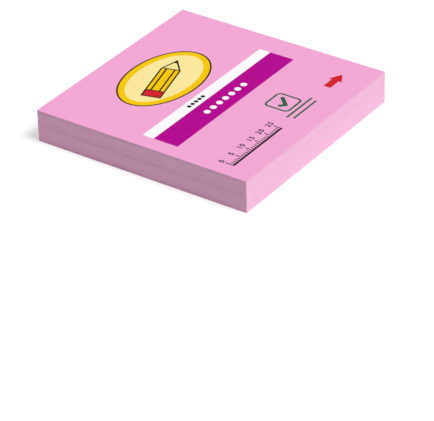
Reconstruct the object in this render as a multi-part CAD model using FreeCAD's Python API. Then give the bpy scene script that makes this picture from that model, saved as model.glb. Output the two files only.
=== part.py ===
# A sticky note pad: a printed cover sheet, a block of square notes and a backing sheet, all held
# together by a strip of adhesive along one edge and free to lift everywhere else.
#
# Frame: millimetres, +Z up, origin at the centre of the underside. +X is the reading direction of
# the print and +Y points at the bonded edge, so the free edge that a finger lifts is at -Y.
import FreeCAD
import Part

import math
import os

# The pad
pad_width = 76.0  # along X
pad_depth = 76.0  # along Y, from the free edge to the bonded edge
note_count = 90
note_paper = 0.100  # thickness of one note
adhesive_film = 0.016  # thickness of one adhesive strip, and so of the air between the free parts
adhesive_width = 20.0  # how far the strips reach in from the bonded edge
adhesive_setback = 0.25  # the soft strips lie this far inside the cut edges of the paper
cover_paper = 0.100
backing_paper = 0.150

# The print. Ink lies in the cover sheet's surface and is flush with it.
ink_depth = 0.020
left_margin = 5.3  # from the left edge of the cover to the print
right_margin = 8.5
lower_margin = 7.7  # from the free edge to the print
line_width = 0.55  # drawn lines of the badge and the pencil

# The two stripes across the cover, one directly above the other
stripe_top = 2.55  # above the middle of the pad
white_stripe_height = 4.0
magenta_stripe_height = 8.7

# Rows of dots in the stripes
black_dot_diameter = 1.4
black_dot_pitch = 1.8
black_dot_count = 5
white_dot_diameter = 2.1
white_dot_pitch = 3.25
white_dot_count = 7
dots_indent = 20.4  # from the left end of the stripes to the first dot's edge

# The oval badge above the stripes
badge_gap = 2.4  # between the badge and the stripes
badge_width = 37.6
badge_height = 24.0
badge_ring_width = 2.1

# The pencil on the badge, as long as the badge's field lets it be
pencil_clearance = 0.6  # from the pencil's back corners to the badge's ring
pencil_width = 6.6
pencil_tip = 6.4  # length of the sharpened cone
pencil_lead = 2.2
pencil_eraser = 3.2
pencil_angle = 15.0  # from the reading direction, in degrees
facet_share = 0.5  # the middle facet's share of the pencil's coloured width

# The measuring scale at the lower left
scale_length = 25.0
scale_step = 1.0
scale_major_every = 5
scale_line = 0.40
scale_base = 0.70  # height of the line that the marks stand on
scale_minor_height = 1.9
scale_major_height = 3.2

# The tick box at the lower middle, with two rules below it
box_rise = 16.1  # from the free edge to the box's centre
box_offset = 5.6  # from the middle of the pad
box_size = 9.0
box_corner = 1.7  # radius of its outer corners
box_line = 0.7
tick_stroke = 1.3
tick_short = 2.9
tick_long = 5.6
tick_turn = 45.0  # from its long stroke lying along the reading direction, in degrees
rule_gap = 1.0  # between the box and the first rule
rule_line = 0.7
rule_pitch = 2.05
rule_lengths = (13.8, 12.4)

# The arrow at the lower right
arrow_length = 8.9
arrow_width = 4.7
arrow_shaft = 2.5
arrow_head = 4.2

# Levels and edges that follow from the sizes above
left_edge = -pad_width / 2
free_edge = -pad_depth / 2
bonded_edge = pad_depth / 2
adhesive_front = bonded_edge - adhesive_width
backing_top = backing_paper
block_bottom = backing_top + adhesive_film
block_top = block_bottom + note_count * note_paper + (note_count - 1) * adhesive_film
cover_bottom = block_top + adhesive_film
cover_top = cover_bottom + cover_paper
print_left = left_edge + left_margin
print_right = pad_width / 2 - right_margin
print_middle = (print_left + print_right) / 2
white_stripe_bottom = stripe_top - white_stripe_height
magenta_stripe_bottom = white_stripe_bottom - magenta_stripe_height
badge_centre = (print_middle, stripe_top + badge_gap + badge_height / 2)
badge_field_width = badge_width - 2 * (line_width + badge_ring_width)
badge_field_height = badge_height - 2 * (line_width + badge_ring_width)


def rectangle(left, right, bottom, top):
    return Part.makePlane(right - left, top - bottom, FreeCAD.Vector(left, bottom, 0))


def layer(figure, bottom, top):
    """A flat figure made into a solid between two levels."""
    raised = figure.copy()
    raised.translate(FreeCAD.Vector(0, 0, bottom))
    return raised.extrude(FreeCAD.Vector(0, 0, top - bottom))


def sheet_outline():
    return rectangle(left_edge, -left_edge, free_edge, bonded_edge)


def strip_outline():
    """Where the adhesive lies between two sheets."""
    side = left_edge + adhesive_setback
    return rectangle(side, -side, adhesive_front, bonded_edge - adhesive_setback)


def note_block():
    """The notes as one solid: leaves with air between them, joined where the adhesive lies."""
    pitch = note_paper + adhesive_film
    air = sheet_outline().cut(strip_outline())
    gaps = []
    for number in range(1, note_count):
        leaf_bottom = block_bottom + number * pitch
        gaps.append(layer(air, leaf_bottom - adhesive_film, leaf_bottom))
    return layer(sheet_outline(), block_bottom, block_top).cut(Part.makeCompound(gaps))


def disc(x, y, diameter):
    circle = Part.Circle(FreeCAD.Vector(x, y, 0), FreeCAD.Vector(0, 0, 1), diameter / 2)
    return Part.Face(Part.Wire(circle.toShape()))


def oval(width, height):
    x, y = badge_centre
    ellipse = Part.Ellipse(FreeCAD.Vector(x, y, 0), width / 2, height / 2)
    return Part.Face(Part.Wire(ellipse.toShape()))


def polygon(corners):
    points = [FreeCAD.Vector(x, y, 0) for x, y in corners]
    return Part.Face(Part.makePolygon(points + points[:1]))


def dot_row(count, pitch, diameter, middle):
    """Equal dots in a row along the stripes, the first dots_indent from their left end."""
    first = print_left + dots_indent + diameter / 2
    return Part.makeCompound([disc(first + i * pitch, middle, diameter) for i in range(count)])


def stripes():
    """The two stripes and the rows of dots that are let into them."""
    white = rectangle(print_left, print_right, white_stripe_bottom, stripe_top)
    magenta = rectangle(print_left, print_right, magenta_stripe_bottom, white_stripe_bottom)
    black_dots = dot_row(
        black_dot_count, black_dot_pitch, black_dot_diameter, stripe_top - white_stripe_height / 2
    )
    white_dots = dot_row(
        white_dot_count,
        white_dot_pitch,
        white_dot_diameter,
        white_stripe_bottom - magenta_stripe_height / 2,
    )
    return {
        "stripe_white": white.cut(black_dots),
        "stripe_magenta": magenta.cut(white_dots),
        "dots_black": black_dots,
        "dots_white": white_dots,
    }


def pencil_length():
    """The length at which the pencil's back corner keeps its clearance from the oval's edge.

    A corner at half the length along the turned pencil and half its width across lies on an
    ellipse, which makes a quadratic equation for the length.
    """
    across = badge_field_width / 2 - pencil_clearance
    upward = badge_field_height / 2 - pencil_clearance
    half = pencil_width / 2
    cosine = math.cos(math.radians(pencil_angle))
    sine = math.sin(math.radians(pencil_angle))
    square = (cosine / across) ** 2 + (sine / upward) ** 2
    linear = 2 * half * sine * cosine * (1 / upward**2 - 1 / across**2)
    constant = half**2 * ((sine / across) ** 2 + (cosine / upward) ** 2) - 1
    return (math.sqrt(linear**2 - 4 * square * constant) - linear) / square


def pencil():
    """A pencil pointing up to the right: dark lines, with the coloured areas let into them."""
    half = pencil_width / 2
    tip = pencil_length() / 2
    back = -tip
    shoulder = tip - pencil_tip
    inner = half - line_width
    slope = half / pencil_tip
    setback = line_width * math.hypot(1, slope)  # the line's width, measured across the pencil

    def cone_half(along):
        """Half the coloured width of the sharpened cone at a place along the pencil."""
        return (tip - along) * slope - setback

    outline = polygon([(back, -half), (shoulder, -half), (tip, 0), (shoulder, half), (back, half)])
    eraser_start = back + line_width
    eraser_end = eraser_start + pencil_eraser
    eraser = rectangle(eraser_start, eraser_end, -inner, inner)

    body_start = eraser_end + line_width
    middle_half = facet_share * (inner - line_width)
    body = Part.makeCompound(
        [
            rectangle(body_start, shoulder, -inner, -middle_half - line_width),
            rectangle(body_start, shoulder, -middle_half, middle_half),
            rectangle(body_start, shoulder, middle_half + line_width, inner),
        ]
    )

    wood_start = shoulder + line_width
    wood_end = tip - pencil_lead
    wide, narrow = cone_half(wood_start), cone_half(wood_end)
    wood = polygon(
        [(wood_start, -wide), (wood_end, -narrow), (wood_end, narrow), (wood_start, wide)]
    )

    lines = outline.cut(Part.makeCompound([eraser, body, wood]))
    figures = {
        "pencil_lines": lines,
        "pencil_eraser": eraser,
        "pencil_body": body,
        "pencil_wood": wood,
    }
    axis = FreeCAD.Vector(0, 0, 1)
    for figure in [outline, *figures.values()]:
        figure.rotate(FreeCAD.Vector(0, 0, 0), axis, pencil_angle)
        figure.translate(FreeCAD.Vector(*badge_centre, 0))
    return outline, figures


def badge():
    """An oval badge: a dark outline, a yellow ring and a cream field that carries the pencil."""
    outer = oval(badge_width, badge_height)
    ring = oval(badge_width - 2 * line_width, badge_height - 2 * line_width)
    field = oval(badge_field_width, badge_field_height)
    pencil_outline, pencil_figures = pencil()
    figures = {
        "badge_outline": outer.cut(ring),
        "badge_ring": ring.cut(field),
        "badge_field": field.cut(pencil_outline),
    }
    return {**figures, **pencil_figures}


def scale_marks():
    """A short scale: a base line with a mark at each step and a longer one every few steps."""
    base = free_edge + lower_margin
    end = print_left + scale_length + scale_line
    marks = [rectangle(print_left, end, base, base + scale_base)]
    for number in range(round(scale_length / scale_step) + 1):
        major = number % scale_major_every == 0
        height = scale_major_height if major else scale_minor_height
        place = print_left + number * scale_step
        marks.append(rectangle(place, place + scale_line, base, base + height))
    return marks[0].multiFuse(marks[1:]).removeSplitter()


def tick_box():
    """A tick inside a square with round corners."""
    x, y = box_offset, free_edge + box_rise
    reach = box_size / 2 - box_corner
    core = rectangle(x - reach, x + reach, y - reach, y + reach)
    box = core.makeOffset2D(box_corner).cut(core.makeOffset2D(box_corner - box_line))
    # The tick's heel is at the origin until the tick is turned and centred in the box.
    tick = polygon(
        [
            (0, 0),
            (tick_long, 0),
            (tick_long, tick_stroke),
            (tick_stroke, tick_stroke),
            (tick_stroke, tick_short),
            (0, tick_short),
        ]
    )
    tick.rotate(FreeCAD.Vector(0, 0, 0), FreeCAD.Vector(0, 0, 1), tick_turn)
    middle = tick.BoundBox.Center
    tick.translate(FreeCAD.Vector(x - middle.x, y - middle.y, 0))
    return Part.makeCompound([box, tick])


def rule_lines():
    """Plain rules, one below the other, centred below the tick box."""
    first_top = free_edge + box_rise - box_size / 2 - rule_gap
    rules = []
    for number, length in enumerate(rule_lengths):
        top = first_top - number * rule_pitch
        rules.append(
            rectangle(box_offset - length / 2, box_offset + length / 2, top - rule_line, top)
        )
    return Part.makeCompound(rules)


def arrow_mark():
    """A plain arrow pointing right, ending level with the stripes."""
    middle = free_edge + lower_margin + arrow_width / 2
    start = print_right - arrow_length
    neck = print_right - arrow_head
    return polygon(
        [
            (start, middle - arrow_shaft / 2),
            (neck, middle - arrow_shaft / 2),
            (neck, middle - arrow_width / 2),
            (print_right, middle),
            (neck, middle + arrow_width / 2),
            (neck, middle + arrow_shaft / 2),
            (start, middle + arrow_shaft / 2),
        ]
    )


def printed_figures():
    figures = {**stripes(), **badge()}
    figures["scale_marks"] = scale_marks()
    figures["tick_box"] = tick_box()
    figures["rule_lines"] = rule_lines()
    figures["arrow_mark"] = arrow_mark()
    return {name: layer(figure, cover_top - ink_depth, cover_top) for name, figure in figures.items()}


def cover_sheet(inks):
    """The top sheet, with a shallow pocket for each field of ink."""
    paper = layer(sheet_outline(), cover_bottom, cover_top)
    return paper.cut(Part.makeCompound(list(inks.values())))


def make_pad():
    inks = printed_figures()
    return {
        "backing_sheet": layer(sheet_outline(), 0, backing_top),
        "backing_adhesive": layer(strip_outline(), backing_top, block_bottom),
        "note_block": note_block(),
        "cover_adhesive": layer(strip_outline(), block_top, cover_bottom),
        "cover_sheet": cover_sheet(inks),
        **inks,
    }


os.makedirs("parts", exist_ok=True)
for node, shape in make_pad().items():
    shape.exportStep(f"parts/{node}.step")
    print(f"{node}: {len(shape.Solids)} solids, {shape.Volume:.3f} mm3, valid {shape.isValid()}")
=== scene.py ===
import math

import bmesh
import bpy
import numpy as np
from mathutils import Matrix, Quaternion, Vector


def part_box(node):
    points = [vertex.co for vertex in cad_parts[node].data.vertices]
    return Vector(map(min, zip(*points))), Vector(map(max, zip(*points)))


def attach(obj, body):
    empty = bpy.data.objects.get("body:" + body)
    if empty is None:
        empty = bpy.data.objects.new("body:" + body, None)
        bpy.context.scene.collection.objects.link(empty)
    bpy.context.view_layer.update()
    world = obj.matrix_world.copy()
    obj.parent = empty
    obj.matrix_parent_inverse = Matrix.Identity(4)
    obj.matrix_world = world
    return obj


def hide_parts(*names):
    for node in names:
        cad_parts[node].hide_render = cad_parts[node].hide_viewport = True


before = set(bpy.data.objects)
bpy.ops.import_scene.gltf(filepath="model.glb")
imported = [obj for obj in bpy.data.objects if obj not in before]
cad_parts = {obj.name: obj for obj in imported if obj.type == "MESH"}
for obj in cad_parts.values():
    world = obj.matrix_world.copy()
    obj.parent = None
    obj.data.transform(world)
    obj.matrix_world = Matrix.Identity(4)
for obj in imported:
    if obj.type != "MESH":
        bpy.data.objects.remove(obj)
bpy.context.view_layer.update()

MM = 0.001

# The notes
NOTE_COUNT = 90
NOTE_PAPER = 0.100 * MM
NOTE_SEED = 76
STATIONS = 24  # points along each side of a note, where the gaps above and below it may change
RIM = 4.0 * MM  # a note's edge wavers in height over this width and is flat further in
CUT_SCATTER = 0.012 * MM  # how unevenly the notes' edges line up
CUT_SCATTER_LIMIT = 0.030 * MM
SLIPPED_SHARE = 0.08  # share of the notes that lie further back than the rest
SLIPPED_DEPTH = 0.045 * MM
GAP_SPREAD = 0.40  # how much the gaps between notes differ, as the spread of their logarithm
GAP_WAVER = 0.36  # how much one gap differs along its length
GAP_WAVES = (1, 2, 3, 5, 8)  # how many times the parts of that waver rise and fall round the pad
PARTINGS = {17: 0.4, 38: 0.3, 61: 0.3, 79: 0.2}  # gaps that are wider than the rest, from below
LOOSENING = 12.0 * MM  # from where the adhesive ends to where the notes' edges lie quite free
SHADE_SPREAD = 0.010  # how much the notes differ in shade

# The numbers above the measuring scale on the cover
NUMBER_STEP = 5  # mm from one number to the next
NUMBER_LAST = 25
NUMBER_HEIGHT = 1.85 * MM
NUMBER_GAP = 0.60 * MM  # between the scale's longest marks and the numbers
NUMBER_WEIGHT = 0.075 * MM  # how much the figures' strokes are thickened on each side
NUMBER_SHARE = 0.73  # a figure's height as a share of the type size
NUMBER_SPACING = 1.2
NUMBER_FINENESS = 6  # points along each bend of a figure's outline
INK_THICKNESS = 0.004 * MM
WELD_DISTANCE = INK_THICKNESS / 40  # joins only points that lie in one place

# Colours, as linear light
PINK = (0.900, 0.392, 0.659)
PINK_CUT = (0.944, 0.548, 0.763)
PINK_BACKING = (0.880, 0.420, 0.660)
ADHESIVE = (0.80, 0.72, 0.66)
WHITE_INK = (0.965, 0.945, 0.962)
MAGENTA_INK = (0.452, 0.001, 0.282)
BLACK_INK = (0.012, 0.010, 0.012)
BROWN_INK = (0.045, 0.010, 0.007)
YELLOW_INK = (0.917, 0.574, 0.003)
CREAM_INK = (0.948, 0.805, 0.335)
GREEN_INK = (0.030, 0.127, 0.060)
RED_INK = (0.628, 0.017, 0.028)

# The paper. Each shade below is the share by which a pattern makes the colour lighter or darker.
FIBRE_WIDTH = 0.09 * MM
FIBRE_STRETCH = (7, 1, 1)
FIBRE_TURNS = (12, 74, 131)  # degrees
TOOTH_SIZE = 0.05 * MM
RELIEF_RANGE = (1.3, 1.8)  # between these lie most values of the fibres and the tooth together
# partly the fibres' own tone, partly painted shade: lighter where the relief stands high, darker in its
# hollows
FIBRE_TONE_AND_PAINTED_SHADE = 0.030
FORMATION_SIZE = 2.6 * MM
FORMATION_SHADE = 0.018
PAPER_RELIEF = 0.018 * MM
PAPER_ROUGHNESS = (0.68, 0.84)
SPECULAR = 0.1

# The notes' cut edges
STREAK_WIDTH = 0.35 * MM
STREAK_STRETCH = (1, 1, 40)
STREAK_SHADE = 0.014
STREAK_RELIEF = 0.6  # against the crumbs' relief
PATCH_SIZE = 6.0 * MM
PATCH_STRETCH = (1, 1, 0.6)
PATCH_SHADE = 0.010
CRUMB_SIZE = 0.06 * MM
CRUMB_STRETCH = (2, 2, 1)
CRUMB_SHADE = 0.020
CUT_RELIEF = 0.025 * MM
CUT_ROUGHNESS = (0.78, 0.92)

# The ink
LAYDOWN_SIZE = 1.1 * MM
LAYDOWN_SHADE = 0.022
GRAIN_SIZE = 0.10 * MM
GRAIN_SHADE = 0.020
INK_RELIEF = 0.010 * MM
INK_ROUGHNESS = 0.46
WHITE_INK_ROUGHNESS = 0.52
INK_ROUGHNESS_VARIES = 0.07
INK_SPECULAR = 0.02

# The adhesive
BEAD_SIZE = 0.05 * MM
BEAD_RELIEF = 0.010 * MM
BEAD_RELIEF_STRENGTH = 0.5
BEAD_ROUGHNESS = (0.55, 0.35)  # from a bead's middle to its rim
FILM_SIZE = 0.8 * MM
FILM_SHADE = 0.05
TRANSLUCENCE = 0.2
TRANSLUCENCE_DEPTH = (0.3 * MM, 0.2 * MM, 0.2 * MM)  # of red, green and blue light

# The camera: its place, the point on the floor that its axis passes through, and its tilt to the right
CAMERA_PLACE = (-556.1 * MM, -396.1 * MM, 400.4 * MM)
CAMERA_AIM = (-41.4 * MM, -29.9 * MM, 0.0)
CAMERA_TILT = 1.5  # degrees
CAMERA_LENS = 214.5  # mm
CAMERA_SENSOR = 36.0  # mm
CAMERA_NEAR = 0.01
CAMERA_FAR = 50.0

# The light, as the light that a level white surface sends back
KEY_LIGHT = 0.924
KEY_ELEVATION = 60.0  # degrees
KEY_SOFTNESS = 24.0  # degrees across
KEY_TURN = 4.0  # degrees to the right of straight in front of the free edge
SURROUNDING_LIGHT = 0.20
FLOOR_SIZE = 6.0
FLOOR_DROP = 0.01 * MM  # keeps the floor off the pad's underside
FLOOR_COLOUR = (0.78, 0.78, 0.78)
FLOOR_WHITE = 1.04  # the open floor where the camera looks, so bright that only shadows show on it
FLOOR_GLOW = 0.55  # the part of that white that stays even in shadow

# The sockets of a Mix node that are for colours. Those before them are for numbers and vectors.
MIX_INPUTS = (6, 7)
MIX_OUTPUT = 2


# Building materials

class Shader:
    """A material's node tree, with short ways to add what the materials here need."""

    def __init__(self, name):
        self.material = bpy.data.materials.new(name)
        self.material.use_nodes = True
        self.tree = self.material.node_tree
        self.surface = self.tree.nodes["Principled BSDF"]
        self.place = self.tree.nodes.new("ShaderNodeTexCoord").outputs["Object"]

    def node(self, kind, inputs=None, **settings):
        made = self.tree.nodes.new(kind)
        for name, value in settings.items():
            setattr(made, name, value)
        for name, value in (inputs or {}).items():
            self.put(made.inputs[name], value)
        return made

    def put(self, socket, value):
        if isinstance(value, bpy.types.NodeSocket):
            self.tree.links.new(value, socket)
        else:
            socket.default_value = value

    def noise(self, size, detail=3.0, roughness=0.5, stretch=(1, 1, 1), turn=0.0):
        """Noise with blotches about as large as size, stretched along the axes and turned about Z."""
        mapping = self.node(
            "ShaderNodeMapping",
            {"Vector": self.place, "Rotation": (0, 0, turn), "Scale": stretch},
            vector_type="TEXTURE",
        )
        return self.node(
            "ShaderNodeTexNoise",
            {
                "Vector": mapping.outputs["Vector"],
                "Scale": 1 / size,
                "Detail": detail,
                "Roughness": roughness,
            },
        ).outputs["Fac"]

    def math(self, operation, *values):
        made = self.node("ShaderNodeMath", operation=operation)
        for socket, value in zip(made.inputs, values):
            self.put(socket, value)
        return made.outputs[0]

    def spread(self, value, low, high, start=0.3, end=0.7):
        """Brings a noise, which mostly lies between start and end, to the range from low to high."""
        return self.node(
            "ShaderNodeMapRange",
            {"Value": value, "From Min": start, "From Max": end, "To Min": low, "To Max": high},
        ).outputs["Result"]

    def total(self, *values):
        sum_so_far = values[0]
        for value in values[1:]:
            sum_so_far = self.math("ADD", sum_so_far, value)
        return sum_so_far

    def lit(self, colour, factor):
        """A colour made lighter or darker by a factor that varies over the surface."""
        scaled = self.node("ShaderNodeVectorMath", {0: colour, "Scale": factor}, operation="SCALE")
        return scaled.outputs["Vector"]

    def mix(self, share, first, second):
        made = self.node("ShaderNodeMix", {"Factor": share}, data_type="RGBA")
        for index, colour in zip(MIX_INPUTS, (first, second)):
            self.put(made.inputs[index], (*colour, 1.0))
        return made.outputs[MIX_OUTPUT]

    def finish(self, colour, roughness, height, relief, strength=1.0, specular=SPECULAR):
        bump = self.node("ShaderNodeBump", {"Height": height, "Distance": relief, "Strength": strength})
        self.put(self.surface.inputs["Base Color"], colour)
        self.put(self.surface.inputs["Roughness"], roughness)
        self.put(self.surface.inputs["Normal"], bump.outputs["Normal"])
        self.put(self.surface.inputs["Specular IOR Level"], specular)
        return self.material


def fibres(shader):
    """The relief of a sheet of paper: short fibres that lie in three directions, and a fine tooth."""
    strands = [
        shader.noise(FIBRE_WIDTH, detail=2.0, stretch=FIBRE_STRETCH, turn=math.radians(turn))
        for turn in FIBRE_TURNS
    ]
    tooth = shader.noise(TOOTH_SIZE, detail=2.0)
    return shader.total(shader.math("MAXIMUM", strands[0], strands[1]), strands[2], tooth)


def paper(name, colour, edge_colour):
    """Dyed paper. Its cloudy formation and single fibres show faintly, and its cut edges are paler. The
    fibres' shade is partly their own tone and partly painted shade: raised fibres lighter, the hollows
    between them darker.
    """
    shader = Shader(name)
    formation = shader.noise(FORMATION_SIZE, detail=5.0, roughness=0.62)
    relief = fibres(shader)
    # the fibre term follows the relief: painted shade that makes raised fibres lighter and hollows
    # darker, mixed with the fibres' own tone
    shade = shader.total(
        shader.spread(formation, -FORMATION_SHADE, FORMATION_SHADE),
        shader.spread(relief, -FIBRE_TONE_AND_PAINTED_SHADE, FIBRE_TONE_AND_PAINTED_SHADE, *RELIEF_RANGE),
        1.0,
    )
    normal = shader.node("ShaderNodeNewGeometry").outputs["True Normal"]
    upright = shader.node("ShaderNodeSeparateXYZ", {"Vector": normal}).outputs["Z"]
    is_face = shader.math("GREATER_THAN", shader.math("ABSOLUTE", upright), 0.5)
    tone = shader.mix(is_face, edge_colour, colour)
    roughness = shader.spread(relief, *PAPER_ROUGHNESS, *RELIEF_RANGE)
    return shader.finish(shader.lit(tone, shade), roughness, relief, PAPER_RELIEF)


def cut_edges(name, colour):
    """The notes' cut edges: each note has its own shade, and the knife left faint upright streaks."""
    shader = Shader(name)
    own_shade = shader.node("ShaderNodeAttribute", attribute_name="note_shade").outputs["Fac"]
    streaks = shader.noise(STREAK_WIDTH, detail=4.0, roughness=0.6, stretch=STREAK_STRETCH)
    patches = shader.noise(PATCH_SIZE, detail=3.0, stretch=PATCH_STRETCH)
    crumbs = shader.noise(CRUMB_SIZE, detail=3.0, stretch=CRUMB_STRETCH)
    shade = shader.total(
        own_shade,
        shader.spread(streaks, -STREAK_SHADE, STREAK_SHADE),
        shader.spread(patches, -PATCH_SHADE, PATCH_SHADE),
        shader.spread(crumbs, -CRUMB_SHADE, CRUMB_SHADE),
    )
    relief = shader.total(crumbs, shader.math("MULTIPLY", streaks, STREAK_RELIEF))
    roughness = shader.spread(crumbs, *CUT_ROUGHNESS)
    return shader.finish(shader.lit(colour, shade), roughness, relief, CUT_RELIEF)


def ink(name, colour, roughness=INK_ROUGHNESS):
    """Printed ink: it follows the paper's fibres, half fills them, and lies a little unevenly."""
    shader = Shader(name)
    relief = fibres(shader)
    laydown = shader.noise(LAYDOWN_SIZE, detail=4.0, roughness=0.6)
    grain = shader.noise(GRAIN_SIZE, detail=2.0)
    shade = shader.total(
        shader.spread(laydown, -LAYDOWN_SHADE, LAYDOWN_SHADE),
        shader.spread(grain, -GRAIN_SHADE, GRAIN_SHADE),
        1.0,
    )
    smoothest, roughest = roughness - INK_ROUGHNESS_VARIES, roughness + INK_ROUGHNESS_VARIES
    gloss = shader.spread(relief, smoothest, roughest, *RELIEF_RANGE)
    return shader.finish(shader.lit(colour, shade), gloss, relief, INK_RELIEF, specular=INK_SPECULAR)


def adhesive(name, colour):
    """Dried low-tack adhesive: countless tiny round beads, slightly see-through."""
    shader = Shader(name)
    beads = shader.node(
        "ShaderNodeTexVoronoi", {"Vector": shader.place, "Scale": 1 / BEAD_SIZE}
    ).outputs["Distance"]
    film = shader.noise(FILM_SIZE, detail=3.0)
    shade = shader.spread(film, 1 - FILM_SHADE, 1 + FILM_SHADE)
    shader.put(shader.surface.inputs["Subsurface Weight"], TRANSLUCENCE)
    shader.put(shader.surface.inputs["Subsurface Radius"], TRANSLUCENCE_DEPTH)
    shader.put(shader.surface.inputs["Subsurface Scale"], 1.0)
    return shader.finish(
        shader.lit(colour, shade),
        shader.spread(beads, *BEAD_ROUGHNESS, 0.0, 1.0),
        shader.math("SUBTRACT", 1.0, beads),
        BEAD_RELIEF,
        strength=BEAD_RELIEF_STRENGTH,
    )


# Building the pieces that the scene adds

def new_piece(name, mesh):
    data = bpy.data.meshes.new(name)
    mesh.to_mesh(data)
    mesh.free()
    piece = bpy.data.objects.new(name, data)
    bpy.context.scene.collection.objects.link(piece)
    return piece


def dress(piece, material):
    piece.data.materials.clear()
    piece.data.materials.append(material)


def outline(half_x, half_y):
    """Points round a sheet's edge, anticlockwise from its corner at -X and -Y."""
    corners = [(-half_x, -half_y), (half_x, -half_y), (half_x, half_y), (-half_x, half_y)]
    points = []
    for (x0, y0), (x1, y1) in zip(corners, corners[1:] + corners[:1]):
        for step in range(STATIONS):
            share = step / STATIONS
            points.append((x0 + (x1 - x0) * share, y0 + (y1 - y0) * share))
    return np.array(points)


def free_air(low, high):
    """The height of a block of notes less the notes themselves."""
    return (high.z - low.z) - NOTE_COUNT * NOTE_PAPER


def gap_heights(rng, stations, looseness, free_height):
    """The air between the notes at each station. Together the gaps always fill the free height."""
    along = np.linspace(0, 2 * math.pi, stations, endpoint=False)
    gaps = NOTE_COUNT - 1
    weights = rng.normal(0, GAP_SPREAD, (gaps, 1)) * np.ones((1, stations))
    for wave in GAP_WAVES:
        phase = rng.uniform(0, 2 * math.pi, (gaps, 1))
        size = rng.normal(0, GAP_WAVER / math.sqrt(wave), (gaps, 1))
        weights = weights + size * np.sin(wave * along + phase)
    for number, extra in PARTINGS.items():
        weights[number] += extra
    weights = np.exp(weights * looseness)
    return free_height * weights / weights.sum(axis=0)


def note_shifts(rng):
    """How far each note lies off centre, and how far its edges lie behind the pad's own outline."""
    shifts = np.clip(rng.normal(0, CUT_SCATTER, (NOTE_COUNT, 2)), -CUT_SCATTER_LIMIT, CUT_SCATTER_LIMIT)
    insets = np.abs(rng.normal(0, CUT_SCATTER / 2, NOTE_COUNT)) + CUT_SCATTER_LIMIT
    insets[rng.random(NOTE_COUNT) < SLIPPED_SHARE] += SLIPPED_DEPTH
    return shifts, insets


def make_notes(low, high, adhesive_front):
    """The notes as closed leaves. Their edges waver where they lie free, and are flat at the adhesive."""
    rng = np.random.default_rng(NOTE_SEED)
    half_x, half_y = (high.x - low.x) / 2, (high.y - low.y) / 2
    free_height = free_air(low, high)
    even_gap = free_height / (NOTE_COUNT - 1)

    nominal = outline(half_x, half_y)
    inner = outline(half_x - RIM, half_y - RIM)
    stations = len(nominal)
    looseness = np.clip((adhesive_front - nominal[:, 1]) / LOOSENING, 0, 1)
    looseness = looseness * looseness * (3 - 2 * looseness)  # starts and ends smoothly
    gaps = gap_heights(rng, stations, looseness, free_height)
    shifts, insets = note_shifts(rng)
    shades = 1 + rng.normal(0, SHADE_SPREAD, NOTE_COUNT)

    mesh = bmesh.new()
    shade_layer = mesh.faces.layers.float.new("note_shade")
    rim_bottom = np.full(stations, low.z)
    for number in range(NOTE_COUNT):
        edge = outline(half_x - insets[number], half_y - insets[number]) + shifts[number]
        flat_bottom = low.z + number * (NOTE_PAPER + even_gap)
        rings = []
        for points, heights in [
            (inner, np.full(stations, flat_bottom)),
            (edge, rim_bottom),
            (edge, rim_bottom + NOTE_PAPER),
            (inner, np.full(stations, flat_bottom + NOTE_PAPER)),
        ]:
            rings.append([mesh.verts.new((x, y, z)) for (x, y), z in zip(points, heights)])
        faces = [mesh.faces.new(reversed(rings[0])), mesh.faces.new(rings[3])]
        for below, above in zip(rings, rings[1:]):
            for i in range(stations):
                after = (i + 1) % stations
                faces.append(mesh.faces.new((below[i], below[after], above[after], above[i])))
        for face in faces:
            face[shade_layer] = shades[number]
        if number < NOTE_COUNT - 1:
            rim_bottom = rim_bottom + NOTE_PAPER + gaps[number]
    return new_piece("notes", mesh)


def make_note_adhesive(low, high, strip_low, strip_high):
    """The strips that hold each note on the next, as thick as the gaps at the bonded edge."""
    even_gap = free_air(low, high) / (NOTE_COUNT - 1)
    mesh = bmesh.new()
    for number in range(1, NOTE_COUNT):
        top = low.z + number * (NOTE_PAPER + even_gap)
        for vert in bmesh.ops.create_cube(mesh, size=1.0)["verts"]:
            vert.co.x = strip_high.x if vert.co.x > 0 else strip_low.x
            vert.co.y = strip_high.y if vert.co.y > 0 else strip_low.y
            vert.co.z = top if vert.co.z > 0 else top - even_gap
    return new_piece("note_adhesive", mesh)


def make_numbers(marks_low, marks_high):
    """Plain numbers above the scale's longer marks, each printed as a thin layer on the cover."""
    first = (marks_low.x + marks_high.x - NUMBER_LAST * MM) / 2
    mesh = bmesh.new()
    for number in range(0, NUMBER_LAST + NUMBER_STEP, NUMBER_STEP):
        text = bpy.data.curves.new("number", "FONT")
        text.body = str(number)
        text.align_x = "CENTER"
        text.size = NUMBER_HEIGHT / NUMBER_SHARE
        text.offset = NUMBER_WEIGHT
        text.space_character = NUMBER_SPACING
        text.extrude = INK_THICKNESS / 2
        text.resolution_u = NUMBER_FINENESS
        carrier = bpy.data.objects.new("number", text)
        figures = bpy.data.meshes.new_from_object(carrier)
        place = (first + number * MM, marks_high.y + NUMBER_GAP, marks_high.z + INK_THICKNESS / 2)
        figures.transform(Matrix.Translation(place))
        mesh.from_mesh(figures)
        bpy.data.objects.remove(carrier)
        bpy.data.curves.remove(text)
        bpy.data.meshes.remove(figures)
    bmesh.ops.remove_doubles(mesh, verts=mesh.verts, dist=WELD_DISTANCE)
    return new_piece("scale_numbers", mesh)


# The room

def seen_directly(tree):
    """1 for what the camera sees, also in a reflection or through glass, and 0 for stray light."""
    rays = tree.nodes.new("ShaderNodeLightPath")
    seen = rays.outputs["Is Camera Ray"]
    for kind in ("Is Glossy Ray", "Is Transmission Ray"):
        either = tree.nodes.new("ShaderNodeMath")
        either.operation = "MAXIMUM"
        tree.links.new(seen, either.inputs[0])
        tree.links.new(rays.outputs[kind], either.inputs[1])
        seen = either.outputs[0]
    return seen


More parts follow.
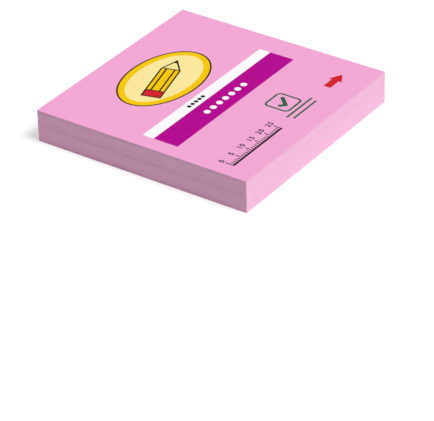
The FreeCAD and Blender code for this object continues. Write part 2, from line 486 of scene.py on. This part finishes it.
def make_floor():
    """A white floor. Where the camera looks it is partly bright by itself, so that shadows stay pale."""
    bpy.ops.mesh.primitive_plane_add(size=FLOOR_SIZE, location=(0, 0, -FLOOR_DROP))
    floor = bpy.context.object
    floor.name = "floor"
    shader = Shader("floor")
    tree = shader.tree
    lit_part = FLOOR_WHITE - FLOOR_GLOW
    plain = shader.node("ShaderNodeBsdfDiffuse", {"Color": (*FLOOR_COLOUR, 1.0)})
    white = shader.node("ShaderNodeBsdfDiffuse", {"Color": (lit_part, lit_part, lit_part, 1.0)})
    glow = shader.node("ShaderNodeEmission", {"Color": (1.0, 1.0, 1.0, 1.0), "Strength": FLOOR_GLOW})
    shown = shader.node("ShaderNodeAddShader")
    tree.links.new(white.outputs[0], shown.inputs[0])
    tree.links.new(glow.outputs[0], shown.inputs[1])
    either = shader.node("ShaderNodeMixShader", {"Fac": seen_directly(tree)})
    tree.links.new(plain.outputs[0], either.inputs[1])
    tree.links.new(shown.outputs[0], either.inputs[2])
    tree.links.new(either.outputs[0], tree.nodes["Material Output"].inputs["Surface"])
    tree.nodes.remove(shader.surface)
    dress(floor, shader.material)


def make_surroundings():
    """Weak even light from all round. The camera and reflections see plain white."""
    world = bpy.data.worlds.new("surroundings")
    bpy.context.scene.world = world
    world.use_nodes = True
    tree = world.node_tree
    light = tree.nodes["Background"]
    white = tree.nodes.new("ShaderNodeBackground")
    for background, strength in ((light, SURROUNDING_LIGHT), (white, 1.0)):
        background.inputs["Color"].default_value = (1, 1, 1, 1)
        background.inputs["Strength"].default_value = strength
    either = tree.nodes.new("ShaderNodeMixShader")
    tree.links.new(seen_directly(tree), either.inputs["Fac"])
    tree.links.new(light.outputs[0], either.inputs[1])
    tree.links.new(white.outputs[0], either.inputs[2])
    tree.links.new(either.outputs[0], tree.nodes["World Output"].inputs["Surface"])


def make_key_light():
    light = bpy.data.lights.new("key", "SUN")
    light.energy = KEY_LIGHT * math.pi
    light.angle = math.radians(KEY_SOFTNESS)
    lamp = bpy.data.objects.new("key", light)
    bpy.context.scene.collection.objects.link(lamp)
    turn, lift = math.radians(KEY_TURN), math.radians(KEY_ELEVATION)
    towards = Vector((math.sin(turn) * math.cos(lift), -math.cos(turn) * math.cos(lift), math.sin(lift)))
    lamp.rotation_mode = "QUATERNION"
    lamp.rotation_quaternion = towards.to_track_quat("Z", "Y")
    lamp.location = towards


def make_camera():
    data = bpy.data.cameras.new("camera")
    data.sensor_fit = "HORIZONTAL"
    data.sensor_width = CAMERA_SENSOR
    data.lens = CAMERA_LENS
    data.clip_start = CAMERA_NEAR
    data.clip_end = CAMERA_FAR
    camera = bpy.data.objects.new("camera", data)
    bpy.context.scene.collection.objects.link(camera)
    camera.location = CAMERA_PLACE
    ahead = Vector(CAMERA_AIM) - Vector(CAMERA_PLACE)
    tilt = Quaternion((0, 0, 1), math.radians(-CAMERA_TILT))
    camera.rotation_mode = "QUATERNION"
    camera.rotation_quaternion = ahead.to_track_quat("-Z", "Y") @ tilt
    bpy.context.scene.camera = camera


# Putting it together

block_low, block_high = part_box("note_block")
strip_low, strip_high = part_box("cover_adhesive")

notes = make_notes(block_low, block_high, strip_low.y)
dress(notes, cut_edges("note_paper", PINK_CUT))
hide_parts("note_block")
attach(notes, "root")

sticky = adhesive("adhesive", ADHESIVE)
note_adhesive = make_note_adhesive(block_low, block_high, strip_low, strip_high)
dress(note_adhesive, sticky)
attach(note_adhesive, "root")

brown_ink = ink("brown_ink", BROWN_INK)
red_ink = ink("red_ink", RED_INK)
yellow_ink = ink("yellow_ink", YELLOW_INK)
cream_ink = ink("cream_ink", CREAM_INK)
white_ink = ink("white_ink", WHITE_INK, roughness=WHITE_INK_ROUGHNESS)
black_ink = ink("black_ink", BLACK_INK)
green_ink = ink("green_ink", GREEN_INK)

numbers = make_numbers(*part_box("scale_marks"))
dress(numbers, black_ink)
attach(numbers, "root")

finishes = {
    "cover_sheet": paper("cover_paper", PINK, PINK_CUT),
    "backing_sheet": paper("backing_paper", PINK_BACKING, PINK_CUT),
    "cover_adhesive": sticky,
    "backing_adhesive": sticky,
    "stripe_white": white_ink,
    "dots_white": white_ink,
    "stripe_magenta": ink("magenta_ink", MAGENTA_INK),
    "dots_black": black_ink,
    "scale_marks": black_ink,
    "badge_outline": brown_ink,
    "pencil_lines": brown_ink,
    "badge_ring": yellow_ink,
    "pencil_body": yellow_ink,
    "badge_field": cream_ink,
    "pencil_wood": cream_ink,
    "pencil_eraser": red_ink,
    "arrow_mark": red_ink,
    "tick_box": green_ink,
    "rule_lines": green_ink,
}
for node, finish in finishes.items():
    dress(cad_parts[node], finish)

make_floor()
make_surroundings()
make_key_light()
make_camera()
bpy.context.scene.view_settings.view_transform = "Standard"
